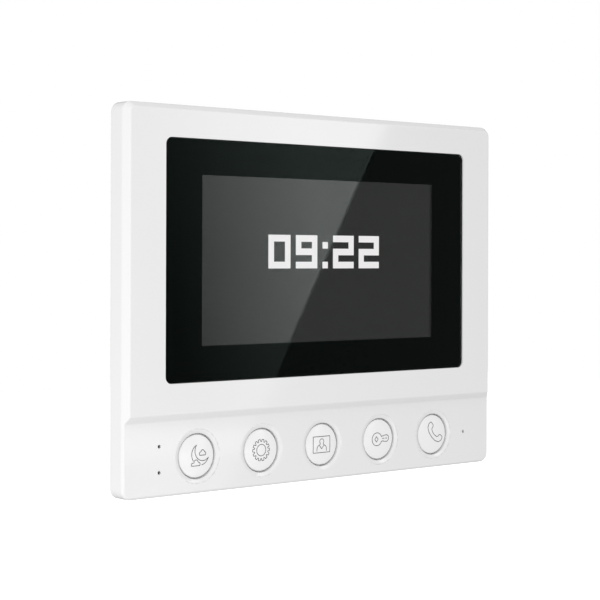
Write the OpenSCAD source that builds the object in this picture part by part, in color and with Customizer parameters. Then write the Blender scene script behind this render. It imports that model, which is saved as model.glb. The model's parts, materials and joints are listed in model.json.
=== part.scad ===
// Wall-hung video intercom monitor: a steel wall plate, and a unit that hangs on its hooks.
// Pieces are drawn lying on their backs, X to the right, Y up the wall and Z out of the wall,
// and upright() stands them up, so the finished front faces -Y and the top faces +Z.
// The origin is the middle of the wall plate, on the wall.

/* [Body] */
// Width of the front cover
body_w = 150.6; // [150:0.1:185]
// Height of the front cover
body_h = 115.5; // [115:0.1:140]
// Depth from the wall to the raised face
body_depth = 22.5; // [22:0.1:30]
// Radius of the front cover's four corners
corner_r = 3; // [2.6:0.1:6]
// Thickness of the front cover's sides
side_wall = 1.8; // [1.3:0.1:2.4]
// Thickness of the raised face
face_wall = 2.2; // [1.8:0.1:2.6]
// Thickness of the button strip's face
strip_wall = 2; // [1.6:0.1:2.4]

/* [Front face] */
// Height of the raised face above the button strip
face_rise = 1.4; // [1:0.1:2]
// Sideways run of the bevel round the raised face
bevel_w = 1.55; // [1:0.05:2]
// Run of the slope from the raised face down to the strip
step_w = 2; // [1:0.1:4]
// Height of the button strip
strip_h = 22.15; // [21:0.05:24]
// Rounding of the strip's outer edge
edge_round = 0.75; // [0.4:0.05:1]
// Depth of the front cover's side, from the raised face to its back edge
skirt_depth = 8.3; // [7.8:0.1:9.5]

/* [Screen] */
// Width of the screen glass
glass_w = 122.6; // [120:0.1:126]
// Height of the screen glass
glass_h = 72.3; // [71:0.1:74]
// Corner radius of the screen glass
glass_r = 2; // [1:0.1:4]
// Thickness of the screen glass
glass_t = 1.1; // [0.7:0.05:1.4]
// How far the glass lies below the raised face
glass_drop = 0.3; // [0.2:0.1:1.4]
// Distance from the cover's top edge to the glass
glass_top = 9.95; // [9:0.05:12]
// Width of the clear window in the printed border
window_w = 95.04; // [80:0.01:97]
// Height of the clear window in the printed border
window_h = 51.1; // [45:0.1:53.8]
// Sideways offset of the display from the middle of the glass
screen_x = 0; // [-1:0.1:1]
// Width of the display module
lcd_w = 105.5; // [104:0.1:107]
// Height of the display module
lcd_h = 67.2; // [66:0.1:68]
// Thickness of the display module
lcd_t = 3; // [2.8:0.1:3.4]

/* [Buttons] */
// Distance between neighbouring buttons
button_pitch = 24.4; // [19.5:0.1:24.5]
// Diameter of a button's hole
button_hole_d = 13.8; // [11:0.1:15]
// Gap all round a button cap
button_gap = 0.45; // [0.2:0.05:0.6]
// Width of the shallow dish round each hole
dish_w = 1.3; // [0.5:0.1:1.6]
// Depth of the dish at the hole
dish_depth = 0.35; // [0.2:0.05:0.9]
// How far a button can be pressed
button_travel = 0.3; // [0.2:0.05:0.4]
// How far a cap's dome stands above the strip
cap_proud = -0.3; // [-0.5:0.05:0.5]

/* [Pinholes] */
// Diameter of the pinholes
pinhole_d = 1; // [0.8:0.1:1.4]
// Distance from the cover's left edge to the lamp holes
lamp_inset = 12.7; // [12.2:0.1:13]
// Distance between the two lamp holes
lamp_spacing = 7.66; // [7:0.01:8]
// Distance from the cover's right edge to the microphone hole
mic_inset = 12.2; // [11.8:0.1:12.6]

/* [Rear cover] */
// Setback of the rear box from each side of the front cover
rear_inset_x = 9.3; // [9:0.1:10]
// Setback of the rear box from the front cover's top and bottom
rear_inset_y = 5; // [4.6:0.1:5.4]
// Corner radius of the rear box
rear_r = 6; // [4:0.5:8]
// Thickness of the rear cover's walls
rear_wall = 2; // [1.6:0.1:2.4]
// Gap between the rear cover's rim and the wall
wall_gap = 0.4; // [0.2:0.1:0.6]

/* [Wall plate] */
// Width of the wall plate
plate_w = 78; // [76:1:80]
// Height of the wall plate
plate_h = 84; // [80:1:88]
// Thickness of the wall plate
plate_t = 1.2; // [1:0.1:1.5]
// Distance between the two slots for a wall box's screws
box_spacing = 60; // [60:0.5:61]
// Length of those slots, end to end
box_slot_l = 9; // [7:0.5:9.5]
// Width of those slots
box_slot_w = 4.4; // [4:0.1:4.6]
// Sideways distance between the corner screw holes
corner_dx = 66; // [62:1:68]
// Upright distance between the corner screw holes
corner_dy = 72; // [68:1:74]
// Diameter of the corner screw holes
corner_hole_d = 4.2; // [3.8:0.1:4.6]
// Width of a hook
hook_w = 8; // [6:0.5:9]
// How far a hook's lip stands above its stem
hook_lip = 5; // [4:0.5:5.5]
// How far the unit lifts to come off its hooks
lift_travel = 6; // [5.6:0.1:6.5]

/* [Boards] */
// Width of the main board
main_w = 109; // [106:1:109]
// Thickness of both circuit boards
board_t = 1.6; // [1.2:0.1:1.6]
// Distance between the main board's screws, sideways
board_screw_dx = 101; // [98:1:101]
// Width of the network jack
jack_w = 16; // [15.5:0.1:16.5]
// Length of the network jack
jack_l = 17.5; // [16:0.5:18]
// Height of the network jack
jack_h = 11.4; // [11:0.1:11.6]
// Distance between the terminal block's ways
way_pitch = 3.81; // [3.5:0.01:3.81]

/* [Speaker] */
// Width of the speaker
speaker_w = 20; // [18:0.5:20.5]
// Length of the speaker
speaker_l = 36; // [30:1:40]
// Height of the speaker's basket
speaker_t = 4; // [3:0.5:5]

/* [Fasteners and fits] */
// Core diameter of a case screw's hole
case_core_d = 2.6; // [2.4:0.1:2.8]
// Core diameter of the small screws' holes
small_core_d = 2.1; // [1.8:0.1:2.3]
// Radial gap between a screw's shank and its hole
thread_gap = 0.02; // [0.01:0.01:0.05]
// Gap between the glass and its pocket
glass_gap = 0.1; // [0.05:0.01:0.2]
// Gap between the two covers where one fits in the other
cover_gap = 0.15; // [0.1:0.01:0.25]
// Gap between parts that only stand next to each other
part_gap = 0.3; // [0.2:0.05:0.4]
// Gap between a hook and the wall it holds
hook_gap = 0.1; // [0.05:0.01:0.2]
// Radial gap of a switch stem in its switch
stem_gap = 0.05; // [0.03:0.01:0.1]

/* [Hidden] */
$fn = 64;

cut = 1;                                      // how far a cut runs past the face it opens
bite = 0.5;                                   // how far a boss runs into the wall it stands on

// Levels above the wall
face_z = body_depth;
strip_z = face_z - face_rise;
bevel_z = strip_z - edge_round;               // where the side ends and the bevel starts
skirt_z = face_z - skirt_depth;
face_in_z = face_z - face_wall;
strip_in_z = strip_z - strip_wall;
glass_z = face_z - glass_drop - glass_t;      // back of the glass
mask_t = 0.1;
tape_t = 0.2;
ledge_z = glass_z - mask_t - tape_t;          // face of the ledge that the tape sticks to
ledge_t = 1.5;
ledge_back_z = ledge_z - ledge_t;
gasket_t = 0.4;
lcd_z = glass_z - mask_t - gasket_t - lcd_t;  // back of the display
bracket_t = 1;
bracket_z = lcd_z - bracket_t;
standoff_t = 0.6;
main_z = bracket_z - standoff_t - board_t;    // back of the main board, where its parts stand
rear_seat_z = skirt_z + 1.8;                  // where the two covers' screw posts meet
flange_z = skirt_z + 0.2;
recess_z = plate_t + 0.2;                     // floor of the pocket that takes the wall plate
recess_in_z = recess_z + rear_wall;
rear_in_z = wall_gap + rear_wall;

// Places up and down the wall
glass_y = body_h/2 - glass_top - glass_h/2;
strip_top = -body_h/2 + strip_h;              // foot of the slope
button_y = -body_h/2 + strip_h/2;

// Front cover
cavity_w = body_w - 2*side_wall;
cavity_h = body_h - 2*side_wall;
cavity_r = corner_r - side_wall;
rim_wall = 2;                                 // wall round the glass pocket
opening_w = lcd_w + 2;                        // way through the ledge for the display
opening_h = lcd_h + 1.2;
rib_t = 1.2;

// Rear cover
rear_w = body_w - 2*rear_inset_x;
rear_h = body_h - 2*rear_inset_y;
recess_gap = 0.75;
recess_low = -plate_h/2 - lift_travel - recess_gap;
recess_top = plate_h/2 + recess_gap;
recess_w = plate_w + 2*recess_gap;
post_d = 7.4;
post_inset = 7;
head_hole_d = 6.2;
case_seat_z = rear_seat_z - 8;                // where a case screw's head seats
case_tip_z = ledge_back_z + 1.1;              // how deep its hole runs
case_low_y = strip_top + 4.6;
case_points = [for (x = [-1, 1], y = [case_low_y, rear_h/2 - 8.75]) [x*(rear_w/2 - post_inset), y]];

// Connector bay, in the middle of the rear cover
bay_w = 41;
bay_low = -20;
bay_top = 17;
bay_wall = 1.2;
bay_floor_t = 1.2;
bay_floor_z = main_z - 0.4 - bay_floor_t;     // back of the bay's floor
jack_x = -11;
jack_y = -2;                                  // mouth of the network jack
ways = 4;
header_wall = 0.8;
header_x = 11;
header_y = 4.5;                               // mouth of the terminal header
header_l = 10;
header_h = 8.4;
header_w = ways*way_pitch + 2*header_wall;

// Wall plate
plate_r = 4;
window_plate_w = 42;
window_plate_low = -24;
window_plate_top = 21;
hook_x = 30;
hook_ys = [-20, 22];                          // tops of the hook stems
hook_t = plate_t;
hook_z = recess_in_z + hook_gap;              // back of a hook's lip
hook_slot_h = hook_t + lift_travel + 0.8;

// Main board and the bracket that carries it
main_low = -27;
main_top = glass_y + 27.85;
board_screw_ys = [main_low + 5, main_top - 4.5];
bracket_low = main_low + 3;
bracket_w = glass_w - 0.6;
bracket_screw_x = glass_w/2 - 3.3;
bracket_screw_ys = [glass_y - 21.65, glass_y + 16.35];
small_boss_d = 5;
head_d = 4;
head_t = 1.3;

// Buttons and their board
key_z = strip_in_z - 9.1;                     // back of the key board
key_front = key_z + board_t;
key_w = rear_w - 2*rear_wall - 1;
key_low = button_y - 3.6;
key_top = strip_top - 0.9;
key_boss_y = strip_top - 3.4;
cap_r = button_hole_d/2 - button_gap;
flange_r = button_hole_d/2 + 1;
flange_t = 1;
flange_front = strip_in_z - 0.05;
cap_top = strip_z + cap_proud;
dome_rise = 0.35;
dome_r = (cap_r*cap_r + dome_rise*dome_rise)/(2*dome_rise);
cap_wall = 1.2;
cap_skin = 1.6;
key_w_tab = 2;                                // tab on a cap's flange that stops it turning
key_l_tab = 1.2;
switch_w = 6;
switch_h = 3.5;
stem_d = 3.4;
stem_top = key_front + 5;
stem_low = key_front + 2.3;
post_low = stem_top + 0.02;                   // end of a cap's middle post
button_xs = [for (i = [-2:2]) i*button_pitch];
between_xs = [for (i = [-1.5, -0.5, 0.5, 1.5]) i*button_pitch];

// Lamps and microphone
lamp_x = -body_w/2 + lamp_inset;
lamp_ys = [button_y - lamp_spacing/2, button_y + lamp_spacing/2];
mic_x = body_w/2 - mic_inset;
mic_d = 4;
mic_h = 2.2;
mic_post_x = key_w/2 - 3.1;                   // the capsule stands further in than its hole
lamp_post_x = -key_w/2 + 3;
lamp_post_ys = [button_y - 1.8, button_y + 3.2];
guide_z = rear_seat_z + 0.4;                  // back of the parts above the flange

// Speaker
speaker_x = rear_w/2 - rear_wall - 2 - speaker_w/2;
speaker_y = -2;
gasket_h = 0.6;
speaker_z = rear_in_z + gasket_h;             // back of the basket
fence_wall = 1.2;
magnet_d = 13;
magnet_h = 2.4;

// General shapes
module upright() rotate([90, 0, 0]) children();

// A solid between two corners, each given as [low, high] on its axis
module block(x, y, z)
    translate([x[0], y[0], z[0]]) cube([x[1] - x[0], y[1] - y[0], z[1] - z[0]]);

module rod(d, z0, z1) translate([0, 0, z0]) cylinder(d = d, h = z1 - z0);

module rounded_rect(w, h, r) {
    square([w - 2*r, h], center = true);
    square([w, h - 2*r], center = true);
    for (x = [-1, 1], y = [-1, 1]) translate([x*(w/2 - r), y*(h/2 - r)]) circle(r);
}

module slab(w, h, r, z0, z1) translate([0, 0, z0]) linear_extrude(z1 - z0) rounded_rect(w, h, r);

// The section of a slab whose front edge is rounded by e
module soft_section(w, t, e) {
    translate([-w/2, 0]) square([w, t - e]);
    translate([e - w/2, 0]) square([w - 2*e, t]);
    for (x = [-1, 1]) translate([x*(w/2 - e), t - e]) circle(e);
}

// A slab with round corners and a rounded front edge
module soft_slab(w, h, r, t, e) {
    rotate([90, 0, 0]) linear_extrude(h - 2*r, center = true) soft_section(w, t, e);
    rotate([90, 0, 90]) linear_extrude(w - 2*r, center = true) soft_section(h, t, e);
    for (x = [-1, 1], y = [-1, 1]) translate([x*(w/2 - r), y*(h/2 - r)])
        rotate_extrude() intersection() { soft_section(2*r, t, e); square([r, t]); }
}

// A slab with round corners that narrows by c towards its front
module bevelled_slab(w, h, r, t, c) {
    rotate([90, 0, 0]) linear_extrude(h - 2*r, center = true)
        polygon([[-w/2, 0], [w/2, 0], [w/2 - c, t], [c - w/2, t]]);
    rotate([90, 0, 90]) linear_extrude(w - 2*r, center = true)
        polygon([[-h/2, 0], [h/2, 0], [h/2 - c, t], [c - h/2, t]]);
    for (x = [-1, 1], y = [-1, 1]) translate([x*(w/2 - r), y*(h/2 - r)])
        cylinder(r1 = r, r2 = r - c, h = t);
}

// A screw pointing out of the wall: its head is behind the seat, its point in front
module screw(head, head_h, shank, seat, tip) {
    recess = head*0.55;
    slot = head*0.14;
    difference() {
        rod(head, seat - head_h, seat);
        for (turn = [0, 90]) rotate(turn)
            translate([-recess/2, -slot/2, seat - head_h - cut]) cube([recess, slot, head_h*0.6 + cut]);
    }
    rod(shank, seat, tip - shank/2);
    translate([0, 0, tip - shank/2]) cylinder(d1 = shank, d2 = shank/2, h = shank/2);
}

// A flat ribbon along [y, z] points
module ribbon(path, w, t)
    rotate([90, 0, 90]) linear_extrude(w, center = true) {
        for (i = [1 : len(path) - 1]) let (a = path[i - 1], b = path[i], run = b - a)
            translate(a) rotate(atan2(run[1], run[0])) translate([0, -t/2]) square([norm(run), t]);
        for (p = path) translate(p) circle(d = t);
    }

// Outlines that several pieces share
module racetrack(w, l) {
    square([w, l - w], center = true);
    for (y = [-1, 1]) translate([0, y*(l - w)/2]) circle(d = w);
}

module at_display() translate([screen_x, glass_y, 0]) children();
module at_glass() translate([0, glass_y, 0]) children();
module at_each(points) for (p = points) translate([p[0], p[1], 0]) children();

bracket_points = [for (x = [-1, 1], y = bracket_screw_ys) [x*bracket_screw_x, y]];
board_points = [for (x = [-1, 1], y = board_screw_ys) [x*board_screw_dx/2, y]];
key_points = [for (x = between_xs) [x, key_boss_y]];
hook_points = [for (x = [-1, 1], y = hook_ys) [x*hook_x, y]];

// Front cover: the face, the sides, and what the inner pieces fasten to
module face_outside() {
    translate([0, 0, skirt_z]) soft_slab(body_w, body_h, corner_r, strip_z - skirt_z, edge_round);
    intersection() {
        translate([0, 0, bevel_z])
            bevelled_slab(body_w, body_h, corner_r, face_z - bevel_z, bevel_w);
        rotate([90, 0, 90]) linear_extrude(body_w + 2*cut, center = true)
            polygon([[strip_top, bevel_z - cut], [strip_top, strip_z], [strip_top + step_w, face_z],
                [body_h, face_z], [body_h, bevel_z - cut]]);
    }
}

module face_hollow() {
    slab(cavity_w, cavity_h, cavity_r, skirt_z - cut, strip_in_z);
    deep_low = strip_top + strip_wall;
    deep_top = cavity_h/2;
    translate([0, (deep_low + deep_top)/2, 0])
        slab(cavity_w, deep_top - deep_low, cavity_r, skirt_z, face_in_z);
}

module face_supports() {
    at_glass() slab(glass_w + 2*rim_wall, glass_h + 2*rim_wall, glass_r + rim_wall, ledge_back_z,
        face_in_z + bite);
    at_each(case_points) rod(post_d, rear_seat_z, face_in_z + bite);
    at_each(bracket_points) rod(small_boss_d, lcd_z, ledge_back_z + bite);
    at_each(key_points) rod(small_boss_d, key_front, strip_in_z + bite);
    for (x = between_xs, side = [-1, 1]) translate([x, side*(cavity_h/2 - rib_t/2), 0])
        block([-rib_t/2, rib_t/2], [-rib_t, rib_t], [rear_seat_z, strip_in_z + bite]);
    for (x = button_xs, side = [-1, 1])
        translate([x + side*(key_w_tab/2 + part_gap + rib_t/2), button_y + flange_r + part_gap, 0])
            block([-rib_t/2, rib_t/2], [0, key_l_tab], [strip_in_z - flange_t, strip_in_z + bite]);
}

module glass_pocket() {
    pocket_w = glass_w + 2*glass_gap;
    pocket_h = glass_h + 2*glass_gap;
    pocket_r = glass_r + glass_gap;
    chamfer = 0.3;
    slab(pocket_w, pocket_h, pocket_r, ledge_z, face_z + cut);
    translate([0, 0, face_z + chamfer]) mirror([0, 0, 1])
        bevelled_slab(pocket_w + 4*chamfer, pocket_h + 4*chamfer, pocket_r + 2*chamfer, 2*chamfer,
            2*chamfer);
}

module front_cover() color("white") upright() difference() {
    union() {
        difference() { face_outside(); face_hollow(); }
        face_supports();
    }
    at_glass() glass_pocket();
    at_display() slab(opening_w, opening_h, glass_r, skirt_z, face_z);
    at_each(case_points) rod(case_core_d, rear_seat_z - cut, case_tip_z);
    at_each(bracket_points) rod(small_core_d, lcd_z - cut, ledge_z - 0.6);
    at_each(key_points) rod(small_core_d, key_front - cut, key_front + 6);
    for (x = button_xs) translate([x, button_y, 0]) {
        rod(button_hole_d, strip_in_z - cut, strip_z + cut);
        translate([0, 0, strip_z - dish_depth])
            cylinder(d1 = button_hole_d, d2 = button_hole_d + 2*dish_w, h = dish_depth);
    }
    for (y = lamp_ys) translate([lamp_x, y, 0]) rod(pinhole_d, strip_in_z - cut, strip_z + cut);
    translate([mic_x, button_y, 0]) rod(pinhole_d, strip_in_z - cut, strip_z + cut);
}

// Rear cover: a flange that closes the front cover, and the box behind it
module rear_shell() {
    flange_w = cavity_w - 2*cover_gap;
    flange_h = cavity_h - 2*cover_gap;
    difference() {
        union() {
            slab(flange_w, flange_h, cavity_r, flange_z, rear_seat_z);
            slab(rear_w, rear_h, rear_r, wall_gap, rear_seat_z);
        }
        slab(rear_w - 2*rear_wall, rear_h - 2*rear_wall, rear_r - rear_wall, rear_in_z,
            rear_seat_z + cut);
    }
}

module plate_recess(grow, z0, z1)
    translate([0, (recess_low + recess_top)/2, 0])
        slab(recess_w + 2*grow, recess_top - recess_low + 2*grow, plate_r + grow, z0, z1);

module bay_area(grow, z0, z1)
    block([-bay_w/2 - grow, bay_w/2 + grow], [bay_low - grow, bay_top + grow], [z0, z1]);

module rear_supports() {
    intersection() {
        plate_recess(rear_wall, wall_gap, recess_in_z);
        slab(rear_w - rear_wall, rear_h - rear_wall, rear_r - rear_wall/2, wall_gap, recess_in_z);
    }
    at_each(case_points) rod(post_d, wall_gap, rear_seat_z);
    bay_area(bay_wall, recess_z, bay_floor_z + bay_floor_t);
    translate([speaker_x, speaker_y, rear_in_z - bite]) linear_extrude(bite + gasket_h + 2.5)
        racetrack(speaker_w + 2*(part_gap + fence_wall), speaker_l + 2*(part_gap + fence_wall));
}

module grille_slots() {
    slot_w = 1.5;
    slot_pitch = 3.2;
    half = floor((speaker_l/2 - 5)/slot_pitch);
    for (i = [-half : half]) translate([speaker_x, speaker_y + i*slot_pitch, 0])
        rotate(90) translate([0, 0, wall_gap - cut]) linear_extrude(rear_wall + 2*cut)
            racetrack(slot_w, speaker_w - 6);
}

module air_slots() {
    slot_w = 1.6;
    slot_pitch = 5;
    for (side = [-1, 1], i = [-4:4])
        translate([i*slot_pitch, side*(rear_h/2 - rear_wall/2), (rear_in_z + flange_z)/2])
            cube([slot_w, rear_wall + 2*cut, 7], center = true);
}

module label_pocket(shrink, z0, z1)
    translate([-speaker_x, speaker_y, 0]) slab(16 - 2*shrink, 44 - 2*shrink, 1, z0, z1);

module rear_cover() color("whitesmoke") upright() difference() {
    union() { rear_shell(); rear_supports(); }
    translate([speaker_x, speaker_y, rear_in_z]) linear_extrude(rear_seat_z)
        racetrack(speaker_w + 2*part_gap, speaker_l + 2*part_gap);
    plate_recess(0, wall_gap - cut, recess_z);
    bay_area(0, wall_gap - cut, bay_floor_z);
    block([jack_x - jack_w/2 - part_gap, jack_x + jack_w/2 + part_gap],
        [jack_y - part_gap, bay_top], [bay_floor_z - cut, main_z]);
    block([header_x - header_w/2 - part_gap, header_x + header_w/2 + part_gap],
        [header_y - part_gap, bay_top], [bay_floor_z - cut, main_z]);
    at_each(case_points) {
        rod(head_hole_d, wall_gap - cut, case_seat_z);
        rod(case_core_d + 0.7, case_seat_z - cut, rear_seat_z + cut);
    }
    at_each(hook_points)
        block([-hook_w/2 - 0.5, hook_w/2 + 0.5], [0.05 - hook_slot_h, 0.05],
            [wall_gap - cut, recess_in_z + cut]);
    grille_slots();
    air_slots();
    label_pocket(0, wall_gap - cut, wall_gap + 0.2);
}

module case_screws() color("silver") upright() at_each(case_points)
    screw(5.6, 1.9, case_core_d - 2*thread_gap, case_seat_z, case_tip_z - 0.5);

module rating_label() color("lightgrey") upright()
    label_pocket(0.2, wall_gap + 0.05, wall_gap + 0.2);

// Screen: glass with its printed border, and the display module behind it
module glass_outline(z0, z1)
    at_glass() slab(glass_w, glass_h, glass_r, z0, z1);

module screen_glass() color("lightblue") upright() glass_outline(glass_z, glass_z + glass_t);

module glass_mask() color("black") upright() difference() {
    glass_outline(glass_z - mask_t, glass_z);
    at_display() slab(window_w, window_h, 0.3, glass_z - mask_t - cut, glass_z + cut);
}

module glass_tape() color("dimgray") upright() difference() {
    at_glass() slab(glass_w - 1, glass_h - 1, glass_r - 0.5, ledge_z, ledge_z + tape_t);
    at_display() slab(opening_w + 0.4, opening_h + 0.4, glass_r, ledge_z - cut, ledge_z + cut);
}

module lcd_gasket() color("dimgray") upright() at_display() difference() {
    slab(lcd_w - 1.5, lcd_h - 1.5, 0.5, lcd_z + lcd_t, lcd_z + lcd_t + gasket_t);
    slab(window_w + 2.4, window_h + 2.4, 0.5, lcd_z, glass_z);
}

tray_t = 0.3;
light_t = lcd_t*0.45;

module lcd_layer(z0, z1) at_display()
    slab(lcd_w - 2*tray_t - 0.1, lcd_h - 2*tray_t - 0.1, 0.3, z0, z1);

module lcd_panel() color("slategray") upright() lcd_layer(lcd_z + tray_t + light_t, lcd_z + lcd_t);

module lcd_backlight() color("ivory") upright() lcd_layer(lcd_z + tray_t, lcd_z + tray_t + light_t);

module lcd_tray() color("silver") upright() at_display() difference() {
    slab(lcd_w, lcd_h, 0.5, lcd_z, lcd_z + lcd_t - 0.9);
    slab(lcd_w - 2*tray_t, lcd_h - 2*tray_t, 0.3, lcd_z + tray_t, lcd_z + lcd_t);
}

module lcd_flex() color("orange") upright() {
    front = lcd_z + 1.4;
    back = main_z - 1;
    turn = (front - back)/2;
    bend = [for (a = [90 : 15 : 270])
        [main_low - 1.2 + turn*cos(a), (front + back)/2 + turn*sin(a)]];
    translate([screen_x, 0, 0])
        ribbon(concat([[glass_y - lcd_h/2 - 0.1, front]], bend, [[main_low + 0.2, back]]), 20.5, 0.2);
}

module lcd_bracket() color("silver") upright() difference() {
    union() {
        translate([0, (bracket_low + glass_y + lcd_h/2 + 1.7)/2, 0])
            slab(lcd_w + 2.4, glass_y + lcd_h/2 + 1.7 - bracket_low, 1, bracket_z, lcd_z);
        ear_top = bracket_screw_ys[1] + 8;
        translate([0, (bracket_low + ear_top)/2, 0])
            slab(bracket_w, ear_top - bracket_low, 2, bracket_z, lcd_z);
        at_each(board_points) rod(small_boss_d, bracket_z - standoff_t, lcd_z);
    }
    at_glass() slab(lcd_w - 30, lcd_h/2, 3, bracket_z - cut, lcd_z + cut);
    at_each(bracket_points) rod(small_core_d + 0.5, bracket_z - cut, lcd_z + cut);
    at_each(board_points) rod(small_core_d, main_z, lcd_z + cut);
}

module bracket_screws() color("silver") upright() at_each(bracket_points)
    screw(head_d, head_t, small_core_d - 2*thread_gap, bracket_z, ledge_z - 0.8);

// Main board and what stands on its back
module chip(x, y, w, l, h)
    translate([x, y, 0]) block([-w/2, w/2], [-l/2, l/2], [main_z - h, main_z]);

upper_y = (bay_top + bay_wall + main_top)/2;  // middle of the band above the connector bay

module main_board() color("darkgreen") upright() difference() {
    translate([0, (main_low + main_top)/2, 0])
        slab(main_w, main_top - main_low, 2, main_z, main_z + board_t);
    at_each(board_points) rod(small_core_d + 0.5, main_z - cut, main_z + board_t + cut);
}

module board_screws() color("silver") upright() at_each(board_points)
    screw(head_d, head_t, small_core_d - 2*thread_gap, main_z, lcd_z - 0.2);

module processor() color("dimgray") upright() chip(-28, upper_y, 14, 14, 1.3);

module memory_chips() color("dimgray") upright()
    for (side = [-1, 1]) chip(-42, upper_y + side*5, 11, 8, 1.1);

module small_chips() color("dimgray") upright() {
    chip(-33, 12, 6, 5, 1);
    chip(-46, 12, 5, 4, 1);
    chip(-30, -18, 8, 5, 1.2);
    chip(32, 6, 5, 5, 0.9);
    chip(32, -12, 5, 6, 1.4);
    chip(46, -14, 4, 4, 1);
}

module capacitors() color("silver") upright()
    for (p = [[22, 4.4], [22, -4.4], [31, 4.4]])
        translate([p[0], upper_y + p[1], 0]) rod(6.3, main_z - 7, main_z);

module power_transformer() color("khaki") upright() {
    chip(9, upper_y, 14, 8, 7.8);
    chip(9, upper_y, 10, 14.5, 6.2);
}

module network_transformer() color("black") upright() chip(-10, upper_y, 13, 12, 5.5);

module inductor() color("gray") upright() chip(32, upper_y - 5, 8, 8, 4.5);

cell_x = -38;
cell_y = -4;
cell_d = 12.5;

module backup_cell() color("silver") upright() translate([cell_x, cell_y, 0])
    rod(cell_d, main_z - 3.4, main_z - 1.4);

module cell_holder() color("black") upright() translate([cell_x, cell_y, 0]) difference() {
    block([-cell_d/2 - 1.2, cell_d/2 + 1.2], [-cell_d/2 - 0.8, cell_d/2 + 0.8],
        [main_z - 3.2, main_z]);
    rod(cell_d + 0.2, main_z - 3.2 - cut, main_z - 1.4);
}

module edge_connector(x, w, y, z)
    block([x - w/2, x + w/2], [y, y + 4], [z - 1.9, z]);

module flex_connector() color("ivory") upright()
    edge_connector(screen_x, 22, main_low + 0.3, main_z);

// Network jack, its metal cover and its eight spring contacts
module jack_block(inset, y_cut, z_top)
    block([jack_x - jack_w/2 + inset, jack_x + jack_w/2 - inset],
        [jack_y - y_cut, jack_y + jack_l - inset], [main_z - jack_h + inset, z_top]);

mouth_high = main_z - 2.2;
mouth_low = main_z - 9.2;
mouth_l = 12;

module network_jack() color("black") upright() difference() {
    jack_block(0.3, 0, main_z);
    block([jack_x - 5.9, jack_x + 5.9], [jack_y - cut, jack_y + mouth_l], [mouth_low, mouth_high]);
    block([jack_x - 3.1, jack_x + 3.1], [jack_y - cut, jack_y + mouth_l],
        [mouth_low - 1.5, mouth_low + cut]);
}

module jack_shield() color("silver") upright() difference() {
    jack_block(0, 0, main_z);
    jack_block(0.28, cut, main_z + cut);
}

module jack_contacts() color("gold") upright()
    for (i = [-3.5 : 3.5]) translate([jack_x + i*1.02, 0, 0])
        block([-0.2, 0.2], [jack_y + 3, jack_y + mouth_l], [mouth_high - 0.6, mouth_high]);

// Terminal block: a header on the board, and the plug that takes the wires
way_xs = [for (i = [0 : ways - 1]) header_x + (i - (ways - 1)/2)*way_pitch];
header_end = header_y + header_l - 3;         // back of the header's cavity
pin_z = main_z - 4.4;
plug_gap = 0.15;
plug_low = header_y - 10.5;
plug_back = main_z - 9.2;

module terminal_header() color("darkolivegreen") upright() difference() {
    block([header_x - header_w/2, header_x + header_w/2], [header_y, header_y + header_l],
        [main_z - header_h, main_z]);
    block([header_x - header_w/2 + header_wall, header_x + header_w/2 - header_wall],
        [header_y - cut, header_end], [main_z - header_h + header_wall, main_z - 1.2]);
}

module header_pins() color("gold") upright()
    for (x = way_xs) translate([x, 0, pin_z])
        block([-0.5, 0.5], [header_y + 1.5, header_end], [-0.5, 0.5]);

module terminal_plug() color("darkolivegreen") upright() difference() {
    union() {
        half = header_w/2 - header_wall - plug_gap;
        block([header_x - half, header_x + half], [header_y - plug_gap, header_end - 0.5],
            [main_z - header_h + header_wall + plug_gap, main_z - 1.2 - plug_gap]);
        block([header_x - half, header_x + half], [plug_low, header_y - plug_gap],
            [plug_back, bay_floor_z - part_gap]);
    }
    for (x = way_xs) translate([x, 0, 0]) {
        block([-0.6, 0.6], [header_y + 1.3, header_end], [pin_z - 0.6, pin_z + 0.6]);
        translate([0, plug_low - cut, pin_z]) rotate([-90, 0, 0]) cylinder(d = 2.4, h = 7);
        translate([0, plug_low + 3.4, 0]) rod(2.8, plug_back - cut, pin_z);
    }
}

module plug_screws() color("silver") upright()
    for (x = way_xs) translate([x, plug_low + 3.4, 0]) difference() {
        rod(2.6, plug_back + 0.5, plug_back + 2.6);
        block([-1.2, 1.2], [-0.25, 0.25], [plug_back, plug_back + 1.1]);
    }

// Key board, and the ribbon that joins it to the main board
module key_board() color("darkgreen") upright() difference() {
    translate([0, (key_low + key_top)/2, 0])
        slab(key_w, key_top - key_low, rear_r - rear_wall, key_z, key_front);
    at_each(key_points) rod(small_core_d + 0.5, key_z - cut, key_front + cut);
}

module key_board_screws() color("silver") upright() at_each(key_points)
    screw(head_d, head_t, small_core_d - 2*thread_gap, key_z, key_front + 5.5);

module link_connectors() color("ivory") upright() {
    edge_connector(button_pitch, 12, main_low + 0.3, main_z);
    edge_connector(button_pitch, 12, key_top - 4.5, key_z);
}

module board_link() color("white") upright() translate([button_pitch, 0, 0])
    ribbon([[key_top - 0.3, key_z - 1], [key_top + 1.5, key_z - 1], [main_low - 2.5, main_z - 1],
        [main_low + 0.1, main_z - 1]], 10, 0.3);

// Buttons and their switches, counted from the left
module button_cap(i) color("white") upright() translate([button_xs[i], button_y, 0]) {
    flange_back = flange_front - flange_t;
    difference() {
        union() {
            rotate_extrude() intersection() {
                translate([0, flange_back]) square([cap_r, cap_top - flange_back]);
                translate([0, cap_top - dome_r]) circle(dome_r, $fn = 360);
            }
            rod(2*flange_r, flange_back, flange_front);
            block([-key_w_tab/2, key_w_tab/2], [flange_r - bite, flange_r + key_l_tab],
                [flange_back, flange_front]);
        }
        rod(2*(cap_r - cap_wall), flange_back - cut, cap_top - cap_skin);
    }
    rod(stem_d, post_low, cap_top - cap_skin + bite);
}

module do_not_disturb_button() button_cap(0);
module settings_button() button_cap(1);
module view_button() button_cap(2);
module unlock_button() button_cap(3);
module talk_button() button_cap(4);

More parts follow.
